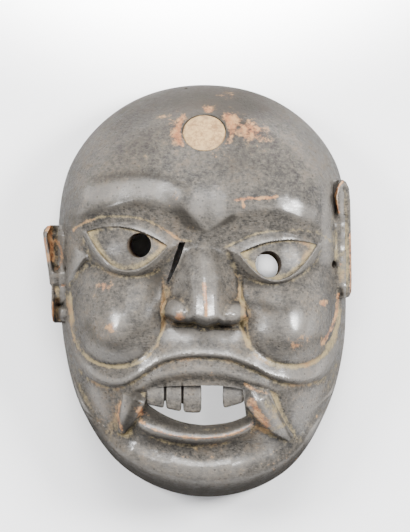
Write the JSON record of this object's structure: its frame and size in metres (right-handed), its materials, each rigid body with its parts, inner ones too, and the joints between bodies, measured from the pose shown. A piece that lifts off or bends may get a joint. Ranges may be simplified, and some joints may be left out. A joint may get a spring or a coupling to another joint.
{
  "type": "carved wooden mask",
  "caption": "Hollow carved wooden mask of a fanged wrathful face with a third-eye disc, bulging cheeks and small ears, lying on its flat back rim.",
  "frame": {"origin": "middle of the bounding box's footprint, on the flat back rim that the mask lies on", "axes": "+Z is the way the face looks, +Y runs from the chin to the crown, +X is to the viewer's right"},
  "size_m": [0.2018, 0.2706, 0.1086],
  "materials": {
    "patinated_wood": "dark grey-brown patina with a dull shine, dusty creases and bare red-brown wood on worn edges",
    "pale_inlay": "bare pale tan wood, dry and matte, with short fibres"
  },
  "bodies": {
    "root": {"mask": "patinated_wood", "third_eye_inlay": "pale_inlay"}
  },
  "joints": []
}
